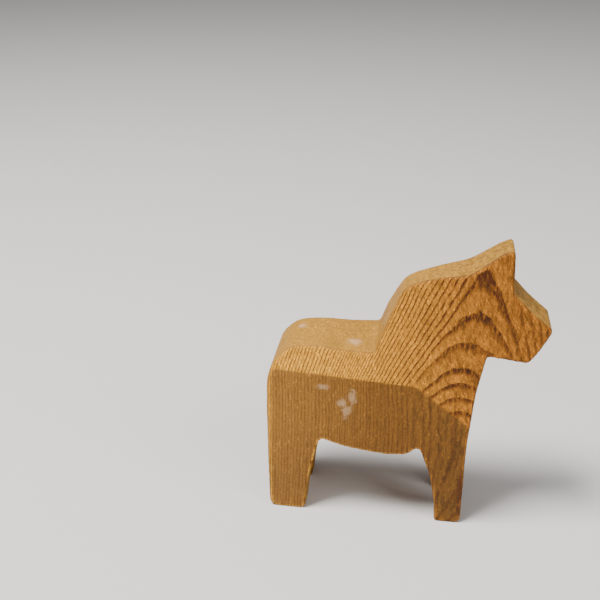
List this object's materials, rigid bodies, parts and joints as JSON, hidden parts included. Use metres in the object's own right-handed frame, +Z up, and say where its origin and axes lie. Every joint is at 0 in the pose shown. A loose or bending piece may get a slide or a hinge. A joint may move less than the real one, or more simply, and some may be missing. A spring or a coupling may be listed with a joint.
{
  "type": "carved wooden horse",
  "caption": "Free-standing bare pine folk-art horse, sawn from one block and finished with a few flat cuts; stands on its own feet as an ornament or a blank for painting.",
  "frame": {"origin": "on the floor under the feet, at the middle of the horse's length and of its thickness", "axes": "+X towards the nose, +Y towards the horse's left side, +Z up"},
  "size_m": [0.092, 0.027, 0.0999],
  "materials": {
    "pine": "bare sanded pine, unpainted and unvarnished, with saw and sanding marks left on the cut faces"
  },
  "bodies": {
    "root": {"carved_horse": "pine"}
  },
  "joints": []
}
